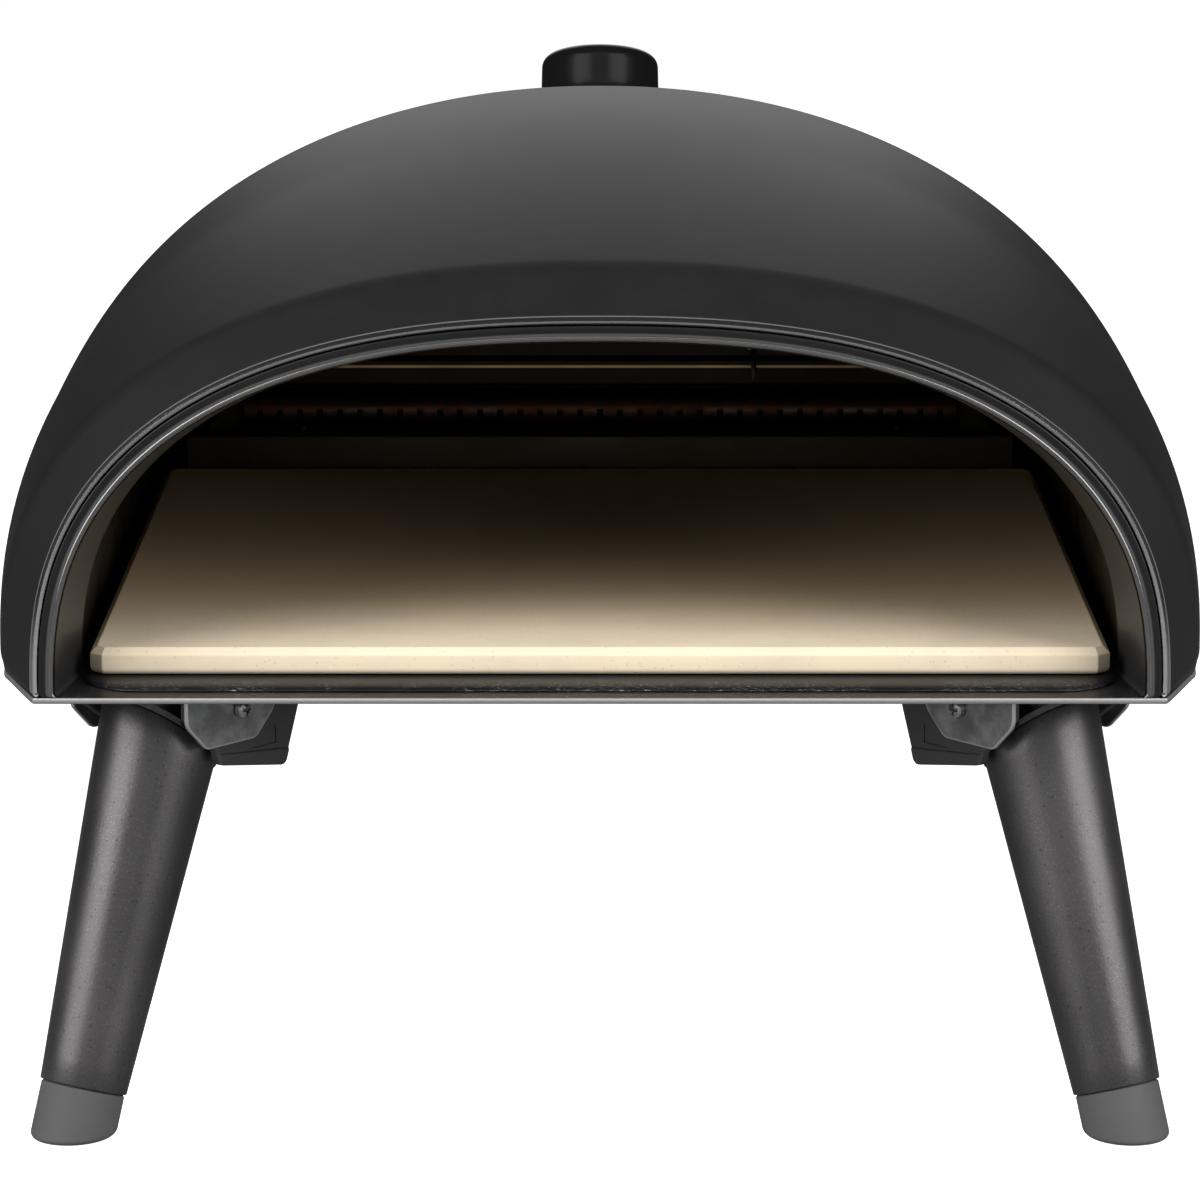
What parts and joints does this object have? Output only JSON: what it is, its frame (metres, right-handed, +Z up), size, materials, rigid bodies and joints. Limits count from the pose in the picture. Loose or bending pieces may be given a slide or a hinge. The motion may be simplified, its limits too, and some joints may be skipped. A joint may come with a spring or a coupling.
{
  "type": "portable pizza oven",
  "caption": "Portable gas pizza oven: a black steel dome over a removable baking stone, with a rear burner, a control knob on top and folding splayed legs.",
  "frame": {"origin": "on the ground under the middle of the oven's box", "axes": "+Z up, the mouth faces -Y, +X is to the right of someone who looks into the mouth"},
  "size_m": [0.4076, 0.5, 0.3304],
  "materials": {
    "powder_coat": "matte black powder coat",
    "rim_steel": "gloss black enamel",
    "liner_steel": "heat-darkened steel",
    "pan_steel": "black, worn bright at the front edge",
    "cordierite": "matte fired ceramic, opaque",
    "fibre": "white ceramic-fibre blanket",
    "burner_steel": "stainless, tinted by heat",
    "brass": "machined",
    "pipe_aluminium": "drawn",
    "knob_plastic": "gloss black",
    "white_ceramic": "glazed ceramic, opaque",
    "bright_steel": "zinc-plated",
    "silicone": "silicone sleeve",
    "leg_coat": "dark grey metallic powder coat",
    "foot_rubber": "matte grey",
    "bracket_steel": "black, bright at its cut edges",
    "shoe_plastic": "moulded glass-filled nylon"
  },
  "bodies": {
    "oven": {"outer_shell": "powder_coat", "back_cover": "powder_coat", "mouth_frame": "rim_steel", "inner_liner": "liner_steel", "back_wall": "liner_steel", "flame_guard": "liner_steel", "insulation": "fibre", "base_pan": "pan_steel", "stone_tray": "pan_steel", "burner_tube": "burner_steel", "burner_foot_left": "burner_steel", "burner_foot_right": "burner_steel", "jet_holder": "brass", "gas_valve": "brass", "gas_inlet": "brass", "inlet_pipe": "pipe_aluminium", "gas_pipe": "pipe_aluminium", "knob_bezel": "knob_plastic", "igniter_ceramic": "white_ceramic", "electrode": "bright_steel", "igniter_lead": "silicone", "cover_screw_1": "bright_steel", "cover_screw_2": "bright_steel", "cover_screw_3": "bright_steel", "cover_screw_4": "bright_steel", "leg_bracket_front_left": "bracket_steel", "leg_bracket_front_right": "bracket_steel", "leg_bracket_rear_left": "bracket_steel", "leg_bracket_rear_right": "bracket_steel", "leg_shoe_front_left": "shoe_plastic", "leg_shoe_front_right": "shoe_plastic", "leg_shoe_rear_left": "shoe_plastic", "leg_shoe_rear_right": "shoe_plastic", "pivot_bolt_front_left": "bright_steel", "pivot_bolt_front_right": "bright_steel", "pivot_bolt_rear_left": "bright_steel", "pivot_bolt_rear_right": "bright_steel", "pivot_nut_front_left": "bright_steel", "pivot_nut_front_right": "bright_steel", "pivot_nut_rear_left": "bright_steel", "pivot_nut_rear_right": "bright_steel"},
    "stone": {"pizza_stone": "cordierite"},
    "knob_push": {"push_collar": "brass"},
    "knob": {"control_knob": "knob_plastic", "valve_stem": "brass"},
    "leg_front_left": {"leg_tube_front_left": "leg_coat", "leg_knuckle_front_left": "shoe_plastic", "leg_foot_front_left": "foot_rubber"},
    "leg_front_right": {"leg_tube_front_right": "leg_coat", "leg_knuckle_front_right": "shoe_plastic", "leg_foot_front_right": "foot_rubber"},
    "leg_rear_left": {"leg_tube_rear_left": "leg_coat", "leg_knuckle_rear_left": "shoe_plastic", "leg_foot_rear_left": "foot_rubber"},
    "leg_rear_right": {"leg_tube_rear_right": "leg_coat", "leg_knuckle_rear_right": "shoe_plastic", "leg_foot_rear_right": "foot_rubber"}
  },
  "joints": [
    {"name": "leg_front_left_fold", "type": "hinge", "parent": "oven", "child": "leg_front_left", "pos_m": [-0.14, -0.1922, 0.1392], "axis": [0.776, -0.6307, 0], "range_deg": [0, 94]},
    {"name": "leg_front_right_fold", "type": "hinge", "parent": "oven", "child": "leg_front_right", "pos_m": [0.14, -0.1922, 0.1392], "axis": [0.776, 0.6307, 0], "range_deg": [0, 94]},
    {"name": "leg_rear_left_fold", "type": "hinge", "parent": "oven", "child": "leg_rear_left", "pos_m": [-0.146, 0.07, 0.1392], "axis": [-0.776, -0.6307, 0], "range_deg": [0, 94]},
    {"name": "leg_rear_right_fold", "type": "hinge", "parent": "oven", "child": "leg_rear_right", "pos_m": [0.146, 0.07, 0.1392], "axis": [-0.776, 0.6307, 0], "range_deg": [0, 94]},
    {"name": "stone_slide", "type": "slide", "parent": "oven", "child": "stone", "axis": [0, -1, 0], "range_m": [0, 0.16]},
    {"name": "knob_push", "type": "slide", "parent": "oven", "child": "knob_push", "axis": [0, -0.3378, -0.9412], "range_m": [0, 0.0025], "stiffness_N_per_m": 800, "springref_m": -0.004},
    {"name": "knob_turn", "type": "hinge", "parent": "knob_push", "child": "knob", "pos_m": [0, 0.13, 0.29885], "axis": [0, 0.3378, 0.9412], "range_deg": [0, 135]}
  ]
}
